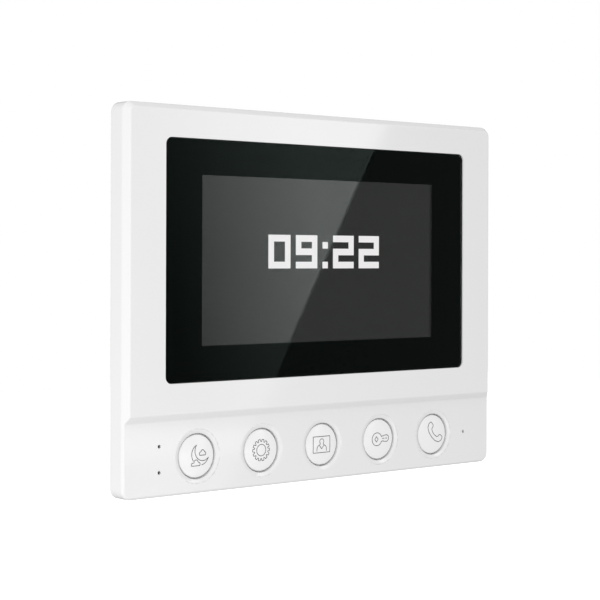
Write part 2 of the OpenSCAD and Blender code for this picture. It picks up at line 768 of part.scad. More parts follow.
module switch_bodies() color("dimgray") upright() for (x = button_xs) translate([x, button_y, 0])
    difference() {
        block([-switch_w/2, switch_w/2], [-switch_w/2, switch_w/2],
            [key_front, key_front + switch_h]);
        rod(stem_d + 2*stem_gap, stem_low - button_travel - 0.2, key_front + switch_h + cut);
    }

module switch_stem(i) color("black") upright() translate([button_xs[i], button_y, 0])
    rod(stem_d, stem_low, stem_top);

module do_not_disturb_stem() switch_stem(0);
module settings_stem() switch_stem(1);
module view_stem() switch_stem(2);
module unlock_stem() switch_stem(3);
module talk_stem() switch_stem(4);

// Status lamps behind the left pinholes, microphone behind the right one
module status_lamps() color("ivory") upright()
    for (y = lamp_post_ys) translate([lamp_post_x, y, 0])
        block([-1.6, 1.6], [-0.8, 0.8], [key_front, key_front + 0.8]);

module light_guide() color("gray") upright() {
    block([lamp_x - 2.6, lamp_x + 3.4], [lamp_ys[0] - 1.8, lamp_ys[1] + 1.8],
        [guide_z, strip_in_z - 0.02]);
    for (y = lamp_ys) translate([lamp_x, y, 0]) rod(pinhole_d - 0.1, strip_in_z - bite, strip_z - 0.5);
    for (y = lamp_post_ys) translate([lamp_post_x, y, 0]) rod(3, key_front + 1, guide_z + bite);
}

module microphone() color("silver") upright() translate([mic_post_x, button_y, 0])
    rod(mic_d - 0.04, key_front, key_front + mic_h);

module mic_boot() color("black") upright() translate([0, button_y, 0]) difference() {
    way_d = 1.6;
    way_z = guide_z + 1.1;                    // the sound's way across from hole to capsule
    union() {
        translate([mic_post_x, 0, 0]) rod(mic_d + 2, key_front, guide_z + bite);
        block([mic_post_x - 2.8, mic_x + 2.2], [-3, 3], [guide_z, strip_in_z - 0.02]);
    }
    translate([mic_post_x, 0, 0]) {
        rod(mic_d, key_front - cut, key_front + mic_h);
        rod(way_d, key_front, way_z + way_d/2);
    }
    block([mic_post_x, mic_x], [-way_d/2, way_d/2], [way_z - way_d/2, way_z + way_d/2]);
    translate([mic_x, 0, 0]) rod(way_d, way_z, strip_in_z + cut);
}

// Speaker, which faces back through the grille
module at_speaker(z0, z1) translate([speaker_x, speaker_y, z0]) linear_extrude(z1 - z0) children();

basket_wall = 0.8;
coil_d = 8;
speaker_top = speaker_z + speaker_t;

module speaker_basket() color("dimgray") upright() difference() {
    at_speaker(speaker_z, speaker_top) racetrack(speaker_w, speaker_l);
    at_speaker(speaker_z - cut, speaker_top - basket_wall)
        racetrack(speaker_w - 2*basket_wall, speaker_l - 2*basket_wall);
    at_speaker(speaker_z, speaker_top + cut) circle(d = coil_d + 2);
}

module speaker_cone() color("black") upright() {
    at_speaker(speaker_z + 0.6, speaker_z + 1)
        racetrack(speaker_w - 2*basket_wall - 0.04, speaker_l - 2*basket_wall - 0.04);
    at_speaker(speaker_z + 0.3, speaker_z + 1) racetrack(coil_d + 2, coil_d + 10);
    at_speaker(speaker_z + 0.9, speaker_top - 0.3) circle(d = coil_d);
}

module speaker_magnet() color("silver") upright()
    at_speaker(speaker_top, speaker_top + magnet_h) circle(d = magnet_d);

module speaker_gasket() color("black") upright() at_speaker(rear_in_z, speaker_z) difference() {
    racetrack(speaker_w, speaker_l);
    racetrack(speaker_w - 4, speaker_l - 4);
}

lead_x = speaker_x - 3;
plug_y = 24;
lead_t = 1;

module speaker_connector() color("ivory") upright()
    block([lead_x - 3, lead_x + 3], [plug_y, plug_y + 5], [main_z - 4, main_z]);

module speaker_wires() color("red") upright() translate([lead_x, 0, 0]) {
    tab_y = speaker_y + speaker_l/2 - 5;
    tab_z = speaker_top + lead_t/2;
    end_y = plug_y - lead_t/2;
    ribbon([[tab_y, tab_z], [tab_y + 4, tab_z], [end_y - 2, main_z - 2], [end_y, main_z - 2]], 2.2, lead_t);
}

// Wall plate: pressed steel with four hooks bent out of it
module wall_plate() color("lightgray") upright() {
    relief_gap = 0.4;
    difference() {
        slab(plate_w, plate_h, plate_r, 0, plate_t);
        translate([0, (window_plate_low + window_plate_top)/2, 0])
            slab(window_plate_w, window_plate_top - window_plate_low, 3, -cut, plate_t + cut);
        for (x = [-1, 1]) translate([x*box_spacing/2, 0, -cut]) rotate(90)
            linear_extrude(plate_t + 2*cut) racetrack(box_slot_w, box_slot_l);
        for (x = [-1, 1], y = [-1, 1]) translate([x*corner_dx/2, y*corner_dy/2, 0])
            rod(corner_hole_d, -cut, plate_t + cut);
        at_each(hook_points) block([-hook_w/2 - relief_gap, hook_w/2 + relief_gap],
            [0, hook_lip + 2.5], [-cut, plate_t + cut]);
        translate([0, plate_h/2 - 9, -cut]) rotate(90) cylinder(r = 4, h = plate_t + 2*cut, $fn = 3);
    }
    at_each(hook_points) {
        block([-hook_w/2, hook_w/2], [-hook_t, 0], [0, hook_z + hook_t]);
        block([-hook_w/2, hook_w/2], [-hook_t, hook_lip], [hook_z, hook_z + hook_t]);
    }
}

front_cover();
rear_cover();
case_screws();
rating_label();
screen_glass();
glass_mask();
glass_tape();
lcd_gasket();
lcd_panel();
lcd_backlight();
lcd_tray();
lcd_flex();
lcd_bracket();
bracket_screws();
main_board();
board_screws();
processor();
memory_chips();
small_chips();
capacitors();
power_transformer();
network_transformer();
inductor();
backup_cell();
cell_holder();
flex_connector();
network_jack();
jack_shield();
jack_contacts();
terminal_header();
header_pins();
terminal_plug();
plug_screws();
key_board();
key_board_screws();
board_link();
link_connectors();
do_not_disturb_button();
settings_button();
view_button();
unlock_button();
talk_button();
switch_bodies();
do_not_disturb_stem();
settings_stem();
view_stem();
unlock_stem();
talk_stem();
status_lamps();
light_guide();
microphone();
mic_boot();
speaker_basket();
speaker_cone();
speaker_magnet();
speaker_gasket();
speaker_wires();
speaker_connector();
wall_plate();
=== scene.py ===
import json
import math

import bmesh
import bpy
from mathutils import Matrix, Vector


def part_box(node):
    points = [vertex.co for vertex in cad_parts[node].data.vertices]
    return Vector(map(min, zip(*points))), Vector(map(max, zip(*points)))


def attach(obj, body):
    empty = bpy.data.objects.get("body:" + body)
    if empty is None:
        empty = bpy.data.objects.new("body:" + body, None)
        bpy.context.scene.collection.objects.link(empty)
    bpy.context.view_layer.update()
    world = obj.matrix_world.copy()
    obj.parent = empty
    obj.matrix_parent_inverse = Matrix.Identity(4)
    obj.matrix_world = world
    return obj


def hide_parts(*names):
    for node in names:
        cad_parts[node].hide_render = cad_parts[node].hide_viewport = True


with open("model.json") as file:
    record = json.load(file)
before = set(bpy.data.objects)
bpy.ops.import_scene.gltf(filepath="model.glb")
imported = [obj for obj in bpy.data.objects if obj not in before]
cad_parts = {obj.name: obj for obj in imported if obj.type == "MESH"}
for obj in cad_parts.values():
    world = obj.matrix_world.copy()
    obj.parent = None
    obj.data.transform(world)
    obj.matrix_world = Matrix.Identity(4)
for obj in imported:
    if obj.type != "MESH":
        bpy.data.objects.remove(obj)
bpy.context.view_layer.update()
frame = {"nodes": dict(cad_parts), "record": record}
scene = bpy.context.scene
mm = 0.001
print("frame loaded:", len(frame["nodes"]), "nodes")


def atWall(x, up, out):
    # x to the right, up the wall and out of the wall in mm, as a point of the frame
    return Vector((x, -out, up)) * mm


def reach(node):
    # a node's size and place in mm: left, right, bottom, top, back and front
    low, high = (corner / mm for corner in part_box(node))
    return dict(left=low.x, right=high.x, bottom=low.z, top=high.z, back=-high.y, front=-low.y,
                x=(low.x + high.x) / 2, up=(low.z + high.z) / 2)


def newObject(name, bm):
    mesh = bpy.data.meshes.new(name)
    bm.to_mesh(mesh)
    bm.free()
    obj = bpy.data.objects.new(name, mesh)
    scene.collection.objects.link(obj)
    return obj


def addModifier(obj, kind, **values):
    modifier = obj.modifiers.new(kind.lower(), kind)
    for key, value in values.items():
        setattr(modifier, key, value)
    return modifier


def settle(obj):
    # turns what the modifiers make into the piece's own mesh
    graph = bpy.context.evaluated_depsgraph_get()
    mesh = bpy.data.meshes.new_from_object(obj.evaluated_get(graph))
    obj.modifiers.clear()
    obj.data = mesh
    mesh.name = obj.name
    return obj


def soften(obj, angle=35):
    # smooth shading that keeps the flat faces flat
    obj.data.shade_smooth()
    obj.data.set_sharp_from_angle(angle=math.radians(angle))
    addModifier(obj, "WEIGHTED_NORMAL", keep_sharp=True, weight=90)
    return settle(obj)


def subtract(obj, cutters):
    for cutter in cutters:
        addModifier(obj, "BOOLEAN", operation="DIFFERENCE", solver="EXACT", object=cutter)
    settle(obj)
    for cutter in cutters:
        bpy.data.objects.remove(cutter)
    return obj


def finishPiece(obj, body, replaced, material):
    obj.data.materials.clear()
    obj.data.materials.append(material)
    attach(obj, body)
    if replaced:
        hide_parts(*replaced)
    return obj


def roundedRect(width, height, radius, steps=10):
    # corners run anticlockwise as seen from the front, starting at the lower right
    points = []
    for corner in range(4):
        turn = math.pi / 2 * (corner - 1)
        cx = (width / 2 - radius) * (1 if corner in (0, 1) else -1)
        cy = (height / 2 - radius) * (1 if corner in (1, 2) else -1)
        for step in range(steps + 1):
            a = turn + math.pi / 2 * step / steps
            points.append((cx + radius * math.cos(a), cy + radius * math.sin(a)))
    return points


def loft(name, sections, x=0.0, up=0.0):
    # sections: (outline, distance out of the wall), from the back to the front, all with as many points
    bm = bmesh.new()
    rings = [[bm.verts.new(atWall(x + px, up + py, out)) for px, py in outline] for outline, out in sections]
    count = len(rings[0])
    bm.faces.new(reversed(rings[0]))
    for back, front in zip(rings, rings[1:]):
        for i in range(count):
            j = (i + 1) % count
            bm.faces.new((back[i], back[j], front[j], front[i]))
    bm.faces.new(rings[-1])
    return newObject(name, bm)


def slab(name, width, height, radius, back, front, x=0.0, up=0.0):
    outline = roundedRect(width, height, radius)
    return loft(name, [(outline, back), (outline, front)], x, up)


def rod(name, radius, back, front, x, up, sides=48):
    outline = [(radius * math.cos(2 * math.pi * i / sides), radius * math.sin(2 * math.pi * i / sides))
               for i in range(sides)]
    return loft(name, [(outline, back), (outline, front)], x, up)


def newTree(name, inputs):
    tree = bpy.data.node_groups.new(name, "GeometryNodeTree")
    tree.interface.new_socket("Geometry", in_out="INPUT", socket_type="NodeSocketGeometry")
    for label, kind, value in inputs:
        socket = tree.interface.new_socket(label, in_out="INPUT", socket_type=kind)
        if value is not None:
            socket.default_value = value
    tree.interface.new_socket("Geometry", in_out="OUTPUT", socket_type="NodeSocketGeometry")
    return tree, tree.nodes.new("NodeGroupInput"), tree.nodes.new("NodeGroupOutput")


def joinNodes(tree, *pairs):
    for source, target in pairs:
        tree.links.new(source, target)


def finishTree(tree, source, given, result):
    # every tree ends in real geometry with its material
    realize = tree.nodes.new("GeometryNodeRealizeInstances")
    paint = tree.nodes.new("GeometryNodeSetMaterial")
    joinNodes(tree, (source, realize.inputs["Geometry"]),
              (realize.outputs["Geometry"], paint.inputs["Geometry"]),
              (given.outputs["Material"], paint.inputs["Material"]),
              (paint.outputs["Geometry"], result.inputs["Geometry"]))
    return tree


def turnedTree():
    # sweeps a half section round the middle of a turned part
    tree, given, result = newTree("turnedPart", [
        ("Segments", "NodeSocketInt", 96), ("Offset", "NodeSocketFloat", 0.1),
        ("Weld", "NodeSocketFloat", 0.00001), ("Material", "NodeSocketMaterial", None)])
    outline = tree.nodes.new("GeometryNodeMeshToCurve")
    path = tree.nodes.new("GeometryNodeCurvePrimitiveCircle")
    sweep = tree.nodes.new("GeometryNodeCurveToMesh")
    weld = tree.nodes.new("GeometryNodeMergeByDistance")
    joinNodes(tree, (given.outputs["Geometry"], outline.inputs["Mesh"]),
              (given.outputs["Segments"], path.inputs["Resolution"]),
              (given.outputs["Offset"], path.inputs["Radius"]),
              (path.outputs["Curve"], sweep.inputs["Curve"]),
              (outline.outputs["Curve"], sweep.inputs["Profile Curve"]),
              (sweep.outputs["Mesh"], weld.inputs["Geometry"]),
              (given.outputs["Weld"], weld.inputs["Distance"]))
    return finishTree(tree, weld.outputs["Geometry"], given, result)


def inkTree():
    # a printed line of even width along every edge of a drawing
    tree, given, result = newTree("inkLine", [
        ("Line Width", "NodeSocketFloat", 0.0002), ("Sides", "NodeSocketInt", 8),
        ("Material", "NodeSocketMaterial", None)])
    path = tree.nodes.new("GeometryNodeMeshToCurve")
    section = tree.nodes.new("GeometryNodeCurvePrimitiveCircle")
    half = tree.nodes.new("ShaderNodeMath")
    half.operation = "MULTIPLY"
    half.inputs[1].default_value = 0.5
    sweep = tree.nodes.new("GeometryNodeCurveToMesh")
    sweep.inputs["Fill Caps"].default_value = True
    joinNodes(tree, (given.outputs["Geometry"], path.inputs["Mesh"]),
              (given.outputs["Line Width"], half.inputs[0]),
              (half.outputs[0], section.inputs["Radius"]),
              (given.outputs["Sides"], section.inputs["Resolution"]),
              (path.outputs["Curve"], sweep.inputs["Curve"]),
              (section.outputs["Curve"], sweep.inputs["Profile Curve"]))
    return finishTree(tree, sweep.outputs["Mesh"], given, result)


def grow(obj, tree, **values):
    # runs a tree on a piece and keeps the mesh that it makes
    modifier = addModifier(obj, "NODES", node_group=tree)
    named = {item.name: item.identifier for item in tree.interface.items_tree if item.in_out == "INPUT"}
    for label, value in values.items():
        modifier[named[label.replace("_", " ")]] = value
    return settle(obj)


def outwards(obj):
    bm = bmesh.new()
    bm.from_mesh(obj.data)
    bmesh.ops.recalc_face_normals(bm, faces=bm.faces)
    bm.to_mesh(obj.data)
    bm.free()
    return obj


turned = turnedTree()
inkLine = inkTree()


def turn(name, section, x, up, material, segments=96):
    # section: (radius, distance out of the wall) in mm; the swept ring is laid flat on the wall's plane
    bm = bmesh.new()
    offset = 100 * mm
    dots = [bm.verts.new((radius * mm - offset, out * mm, 0)) for radius, out in section]
    for a, b in zip(dots, dots[1:]):
        bm.edges.new((a, b))
    obj = grow(newObject(name, bm), turned, Segments=segments, Offset=offset, Material=material)
    obj.data.transform(Matrix.Translation(atWall(x, up, 0)) @ Matrix.Rotation(-math.pi / 2, 4, "X"))
    return outwards(obj)


def addNode(tree, kind, label=None, **values):
    node = tree.nodes.new(kind)
    for key, value in values.items():
        if key in node.inputs:
            node.inputs[key].default_value = value
        else:
            setattr(node, key, value)
    if label:
        node.label = label
    return node


def newGroup(name, inputs, outputs):
    group = bpy.data.node_groups.new(name, "ShaderNodeTree")
    for label, kind, value in inputs:
        group.interface.new_socket(label, in_out="INPUT", socket_type=kind).default_value = value
    for label, kind in outputs:
        group.interface.new_socket(label, in_out="OUTPUT", socket_type=kind)
    return group, group.nodes.new("NodeGroupInput"), group.nodes.new("NodeGroupOutput")


def mouldedGroup():
    # spark-eroded mould grain with a slow mottle of colour and gloss
    group, given, result = newGroup("mouldedSkin", [
        ("Colour", "NodeSocketColor", (0.8, 0.8, 0.8, 1)), ("Roughness", "NodeSocketFloat", 0.4),
        ("Grain Scale", "NodeSocketFloat", 2500.0), ("Grain Depth", "NodeSocketFloat", 0.3),
        ("Mottle", "NodeSocketFloat", 0.03)],
        [("Colour", "NodeSocketColor"), ("Roughness", "NodeSocketFloat"), ("Height", "NodeSocketFloat")])
    place = addNode(group, "ShaderNodeTexCoord")
    grain = addNode(group, "ShaderNodeTexNoise", Detail=4.0, Roughness=0.6)
    slow = addNode(group, "ShaderNodeTexNoise", Scale=45.0, Detail=3.0, Roughness=0.55)
    swing = addNode(group, "ShaderNodeMapRange",
                    **{"From Min": 0.3, "From Max": 0.7, "To Min": -1.0, "To Max": 1.0})
    tint = addNode(group, "ShaderNodeMath", operation="MULTIPLY_ADD")
    tint.inputs[2].default_value = 1.0
    colour = addNode(group, "ShaderNodeVectorMath", operation="SCALE")
    gloss = addNode(group, "ShaderNodeMath", operation="MULTIPLY_ADD")
    gloss.inputs[1].default_value = 0.012
    height = addNode(group, "ShaderNodeMath", operation="MULTIPLY")
    joinNodes(group, (place.outputs["Object"], grain.inputs["Vector"]),
              (place.outputs["Object"], slow.inputs["Vector"]),
              (given.outputs["Grain Scale"], grain.inputs["Scale"]),
              (slow.outputs[0], swing.inputs["Value"]),
              (swing.outputs[0], tint.inputs[0]), (given.outputs["Mottle"], tint.inputs[1]),
              (given.outputs["Colour"], colour.inputs[0]), (tint.outputs[0], colour.inputs["Scale"]),
              (swing.outputs[0], gloss.inputs[0]), (given.outputs["Roughness"], gloss.inputs[2]),
              (grain.outputs[0], height.inputs[0]), (given.outputs["Grain Depth"], height.inputs[1]),
              (colour.outputs[0], result.inputs["Colour"]), (gloss.outputs[0], result.inputs["Roughness"]),
              (height.outputs[0], result.inputs["Height"]))
    return group


def brushedGroup():
    # rolling marks along one direction, with duller patches
    group, given, result = newGroup("rolledMetal", [
        ("Colour", "NodeSocketColor", (0.6, 0.6, 0.6, 1)), ("Roughness", "NodeSocketFloat", 0.35),
        ("Mark Depth", "NodeSocketFloat", 0.2), ("Patches", "NodeSocketFloat", 0.12)],
        [("Colour", "NodeSocketColor"), ("Roughness", "NodeSocketFloat"), ("Height", "NodeSocketFloat")])
    place = addNode(group, "ShaderNodeTexCoord")
    stretch = addNode(group, "ShaderNodeMapping", Scale=(60.0, 60.0, 2600.0))
    marks = addNode(group, "ShaderNodeTexNoise", Scale=1.0, Detail=3.0)
    patches = addNode(group, "ShaderNodeTexNoise", Scale=120.0, Detail=4.0, Roughness=0.65)
    dull = addNode(group, "ShaderNodeMath", operation="MULTIPLY_ADD")
    shade = addNode(group, "ShaderNodeMapRange",
                    **{"From Min": 0.25, "From Max": 0.75, "To Min": 0.88, "To Max": 1.08})
    colour = addNode(group, "ShaderNodeVectorMath", operation="SCALE")
    height = addNode(group, "ShaderNodeMath", operation="MULTIPLY")
    joinNodes(group, (place.outputs["Object"], stretch.inputs["Vector"]),
              (stretch.outputs[0], marks.inputs["Vector"]),
              (place.outputs["Object"], patches.inputs["Vector"]),
              (patches.outputs[0], dull.inputs[0]), (given.outputs["Patches"], dull.inputs[1]),
              (given.outputs["Roughness"], dull.inputs[2]),
              (patches.outputs[0], shade.inputs["Value"]),
              (given.outputs["Colour"], colour.inputs[0]), (shade.outputs[0], colour.inputs["Scale"]),
              (marks.outputs[0], height.inputs[0]), (given.outputs["Mark Depth"], height.inputs[1]),
              (colour.outputs[0], result.inputs["Colour"]), (dull.outputs[0], result.inputs["Roughness"]),
              (height.outputs[0], result.inputs["Height"]))
    return group


skinGroup = mouldedGroup()
metalGroup = brushedGroup()


def startMaterial(name, metallic=0.0, ior=1.5, coat=0.0):
    material = bpy.data.materials.new(name)
    material.use_nodes = True
    shader = material.node_tree.nodes["Principled BSDF"]
    shader.inputs["Metallic"].default_value = metallic
    shader.inputs["IOR"].default_value = ior
    shader.inputs["Coat Weight"].default_value = coat
    return material, material.node_tree, shader


def surface(tree, shader, group, bumpSize, **values):
    skin = tree.nodes.new("ShaderNodeGroup")
    skin.node_tree = group
    for label, value in values.items():
        skin.inputs[label.replace("_", " ")].default_value = value
    bump = addNode(tree, "ShaderNodeBump", Distance=bumpSize * mm, Strength=1.0)
    joinNodes(tree, (skin.outputs["Colour"], shader.inputs["Base Color"]),
              (skin.outputs["Roughness"], shader.inputs["Roughness"]),
              (skin.outputs["Height"], bump.inputs["Height"]),
              (bump.outputs["Normal"], shader.inputs["Normal"]))
    return skin


def plastic(name, colour, roughness=0.4, grain=2500.0, depth=0.3, mottle=0.02, ior=1.5, bump=0.01):
    material, tree, shader = startMaterial(name, ior=ior)
    surface(tree, shader, skinGroup, bump, Colour=(*colour, 1), Roughness=roughness,
            Grain_Scale=grain, Grain_Depth=depth, Mottle=mottle)
    return material


def metal(name, colour, roughness=0.35, marks=0.2, patches=0.12, bump=0.01):
    material, tree, shader = startMaterial(name, metallic=1.0)
    surface(tree, shader, metalGroup, bump, Colour=(*colour, 1), Roughness=roughness,
            Mark_Depth=marks, Patches=patches)
    return material


def boardFinish(name, mask, tracks, roughness):
    # solder mask over copper: straight tracks show a little lighter and stand up a little
    material, tree, shader = startMaterial(name, coat=0.3)
    place = addNode(tree, "ShaderNodeTexCoord")
    runs = addNode(tree, "ShaderNodeTexBrick", Scale=180.0, offset=0.35, squash=1.0,
                   **{"Mortar Size": 0.06, "Mortar Smooth": 0.2, "Brick Width": 0.9, "Row Height": 0.22})
    flat = addNode(tree, "ShaderNodeMapping", Rotation=(math.pi / 2, 0, 0))
    areas = addNode(tree, "ShaderNodeTexVoronoi", Scale=90.0, distance="MANHATTAN")
    pick = addNode(tree, "ShaderNodeMapRange", **{"From Min": 0.25, "From Max": 0.3})
    share = addNode(tree, "ShaderNodeMath", operation="MULTIPLY")
    blend = addNode(tree, "ShaderNodeMix", data_type="RGBA")
    blend.inputs[6].default_value = (*mask, 1)
    blend.inputs[7].default_value = (*tracks, 1)
    weave = addNode(tree, "ShaderNodeTexNoise", Scale=900.0, Detail=2.0)
    gloss = addNode(tree, "ShaderNodeMapRange", **{"To Min": roughness - 0.06, "To Max": roughness + 0.06})
    bump = addNode(tree, "ShaderNodeBump", Distance=0.03 * mm, Strength=0.7)
    joinNodes(tree, (place.outputs["Object"], flat.inputs["Vector"]),
              (flat.outputs[0], runs.inputs["Vector"]),
              (place.outputs["Object"], areas.inputs["Vector"]),
              (areas.outputs["Distance"], pick.inputs["Value"]),
              (runs.outputs["Fac"], share.inputs[0]), (pick.outputs[0], share.inputs[1]),
              (share.outputs[0], blend.inputs[0]), (blend.outputs[2], shader.inputs["Base Color"]),
              (place.outputs["Object"], weave.inputs["Vector"]), (weave.outputs[0], gloss.inputs["Value"]),
              (gloss.outputs[0], shader.inputs["Roughness"]),
              (share.outputs[0], bump.inputs["Height"]), (bump.outputs["Normal"], shader.inputs["Normal"]))
    return material


def foamFinish(name, colour):
    material, tree, shader = startMaterial(name, ior=1.3)
    place = addNode(tree, "ShaderNodeTexCoord")
    cells = addNode(tree, "ShaderNodeTexVoronoi", Scale=2600.0)
    shade = addNode(tree, "ShaderNodeMapRange", **{"From Max": 0.6, "To Min": 0.55, "To Max": 1.15})
    tone = addNode(tree, "ShaderNodeVectorMath", operation="SCALE")
    tone.inputs[0].default_value = colour
    rough = addNode(tree, "ShaderNodeMapRange", **{"To Min": 0.85, "To Max": 0.98})
    bump = addNode(tree, "ShaderNodeBump", Distance=0.05 * mm, Strength=1.0)
    joinNodes(tree, (place.outputs["Object"], cells.inputs["Vector"]),
              (cells.outputs["Distance"], shade.inputs["Value"]), (shade.outputs[0], tone.inputs["Scale"]),
              (tone.outputs[0], shader.inputs["Base Color"]),
              (cells.outputs["Distance"], rough.inputs["Value"]),
              (rough.outputs[0], shader.inputs["Roughness"]),
              (cells.outputs["Distance"], bump.inputs["Height"]),
              (bump.outputs["Normal"], shader.inputs["Normal"]))
    return material


def glassFinish(name, glass):
    # a clear cover glass; wiped patches change its gloss very slightly
    material, tree, shader = startMaterial(name, ior=glass["ior"])
    shader.inputs["Transmission Weight"].default_value = 1.0
    shader.inputs["Base Color"].default_value = (*glass["tint"], 1)
    shader.inputs["Specular Tint"].default_value = (*glass["sheen"], 1)
    place = addNode(tree, "ShaderNodeTexCoord")
    wiped = addNode(tree, "ShaderNodeTexNoise", Scale=30.0, Detail=4.0)
    gloss = addNode(tree, "ShaderNodeMapRange", **{"From Min": 0.45, "From Max": 0.75,
                                                   "To Min": 0.0, "To Max": glass["wiped"]})
    joinNodes(tree, (place.outputs["Object"], wiped.inputs["Vector"]),
              (wiped.outputs[0], gloss.inputs["Value"]),
              (gloss.outputs[0], shader.inputs["Roughness"]))
    return material


def screenFinish(name, screen):
    # the lit picture behind the glass: plain grey with very fine rows
    material, tree, shader = startMaterial(name, ior=screen["ior"])
    shader.inputs["Emission Strength"].default_value = 1.0
    shader.inputs["Roughness"].default_value = screen["roughness"]
    place = addNode(tree, "ShaderNodeTexCoord")
    rows = addNode(tree, "ShaderNodeTexWave", wave_type="BANDS", bands_direction="Z", Scale=screen["rows"])
    shade = addNode(tree, "ShaderNodeMapRange",
                    **{"To Min": screen["light"] * 0.98, "To Max": screen["light"]})
    tone = addNode(tree, "ShaderNodeVectorMath", operation="SCALE")
    tone.inputs[0].default_value = screen["tint"]
    base = addNode(tree, "ShaderNodeVectorMath", operation="SCALE")
    base.inputs[0].default_value = screen["cell"]
    joinNodes(tree, (place.outputs["Object"], rows.inputs["Vector"]),
              (rows.outputs[1], shade.inputs["Value"]),
              (shade.outputs[0], tone.inputs["Scale"]), (tone.outputs[0], shader.inputs["Emission Color"]),
              (rows.outputs[1], base.inputs["Scale"]), (base.outputs[0], shader.inputs["Base Color"]))
    return material


def litFinish(name, lit):
    # the picture's white figures
    material, tree, shader = startMaterial(name, ior=1.3)
    shader.inputs["Emission Strength"].default_value = lit["strength"]
    place = addNode(tree, "ShaderNodeTexCoord")
    rows = addNode(tree, "ShaderNodeTexWave", wave_type="BANDS", bands_direction="Z", Scale=lit["rows"])
    tone = addNode(tree, "ShaderNodeMapRange", **{"To Min": 0.97, "To Max": 1.0})
    joinNodes(tree, (place.outputs["Object"], rows.inputs["Vector"]), (rows.outputs[1], tone.inputs["Value"]),
              (tone.outputs[0], shader.inputs["Emission Color"]))
    shader.inputs["Base Color"].default_value = (0.05, 0.05, 0.05, 1)
    return material


glass = dict(ior=1.255, tint=(0.97, 0.96, 0.96), sheen=(0.70, 1.0, 0.90), wiped=0.02)
screen = dict(ior=1.48, roughness=0.0, light=0.009, tint=(1.0, 0.90, 0.93), cell=(0.02, 0.02, 0.021),
              rows=900.0)
figures = dict(strength=0.86, rows=900.0)

finishes = {
    "white_shell": plastic("whiteShell", (0.752, 0.752, 0.752), 0.07, 1800, 0.06, 0.004, ior=1.8),
    "rear_shell": plastic("rearShell", (0.74, 0.74, 0.735), 0.55, 2200, 1.0, 0.02, bump=0.02),
    "button_white": plastic("buttonWhite", (0.80, 0.80, 0.80), 0.14, 2000, 0.06, 0.004, ior=1.7),
    "screw_steel": metal("screwSteel", (0.62, 0.62, 0.63), 0.28),
    "label_film": plastic("labelFilm", (0.70, 0.71, 0.72), 0.45, 400, 0.1, 0.03),
    "screen_glass": glassFinish("screenGlass", glass),
    "black_ink": plastic("blackInk", (0.035, 0.048, 0.044), 0.6, 900, 0.1, 0.1, ior=1.2),
    "adhesive_tape": foamFinish("adhesiveTape", (0.03, 0.03, 0.03)),
    "foam": foamFinish("foam", (0.05, 0.05, 0.055)),
    "lcd_cell": screenFinish("lcdCell", screen),
    "lamp_white": plastic("lampWhite", (0.85, 0.85, 0.82), 0.35, 900, 0.2),
    "tin_plate": metal("tinPlate", (0.60, 0.61, 0.62), 0.38),
    "flex_film": plastic("flexFilm", (0.42, 0.19, 0.03), 0.3, 700, 0.2, 0.08),
    "sheet_steel": metal("sheetSteel", (0.55, 0.56, 0.57), 0.42, 0.4),
    "plate_steel": metal("plateSteel", (0.56, 0.57, 0.58), 0.36, 0.6, 0.2),
    "board_green": boardFinish("boardGreen", (0.008, 0.09, 0.03), (0.03, 0.19, 0.06), 0.32),
    "chip_black": plastic("chipBlack", (0.018, 0.018, 0.02), 0.55, 3200, 0.8, 0.15),
    "ferrite": plastic("ferrite", (0.045, 0.042, 0.04), 0.7, 1500, 1.0, 0.2),
    "cell_steel": metal("cellSteel", (0.66, 0.66, 0.66), 0.22),
    "connector_black": plastic("connectorBlack", (0.012, 0.012, 0.013), 0.38, 1400, 0.4, 0.1),
    "connector_ivory": plastic("connectorIvory", (0.72, 0.67, 0.52), 0.42, 1200, 0.3),
    "gold_contact": metal("goldContact", (0.83, 0.58, 0.22), 0.22),
    "terminal_green": plastic("terminalGreen", (0.03, 0.28, 0.09), 0.4, 1300, 0.5, 0.05),
    "ribbon_white": plastic("ribbonWhite", (0.74, 0.74, 0.72), 0.4, 600, 0.2, 0.04),
    "stem_black": plastic("stemBlack", (0.02, 0.02, 0.021), 0.4, 1200, 0.3, 0.1),
    "smoked_guide": plastic("smokedGuide", (0.03, 0.028, 0.026), 0.12, 500, 0.05, 0.1),
    "boot_rubber": plastic("bootRubber", (0.015, 0.015, 0.015), 0.75, 1800, 0.8, 0.15, ior=1.4),
    "cone_paper": foamFinish("conePaper", (0.035, 0.034, 0.034)),
    "wire_jacket": plastic("wireJacket", (0.40, 0.02, 0.018), 0.45, 900, 0.3, 0.06),
}
iconInk = plastic("iconInk", (0.03, 0.03, 0.032), 0.5, 1500, 0.2, 0.05)
figureLight = litFinish("figureLight", figures)

for part in frame["record"]["subparts"]:
    skin = frame["nodes"][part["node"]].data
    skin.materials.clear()
    skin.materials.append(finishes[part["material_slot"]])
print("finishes made:", len(bpy.data.materials))


cover = dict(corner=3.0, sideWall=1.8, skirt=8.3, bevelRun=1.55, bevelDrop=2.15, sideRound=1.3, edgeRound=0.3,
             stripTop=-35.6, slopeTop=-33.6, stripDrop=1.4, faceInside=18.5, stripInside=19.1,
             rimRound=0.25, pocketGap=0.1, tape=0.3, lcdWindowGap=0.2,
             holeRadius=6.9, dishWidth=1.3, dishDepth=0.35, pinhole=0.55, over=2.0)
coverAt = reach("front_cover")
glassAt = reach("screen_glass")
lcdAt = reach("lcd_panel")
ledgeFront = glassAt["back"] - cover["tape"]
stripOut = coverAt["front"] - cover["stripDrop"]
skirtOut = coverAt["front"] - cover["skirt"]      # the back edge of the side walls
buttonNames = ["do_not_disturb", "settings", "view", "unlock", "talk"]
buttonAt = [reach(name + "_button") for name in buttonNames]


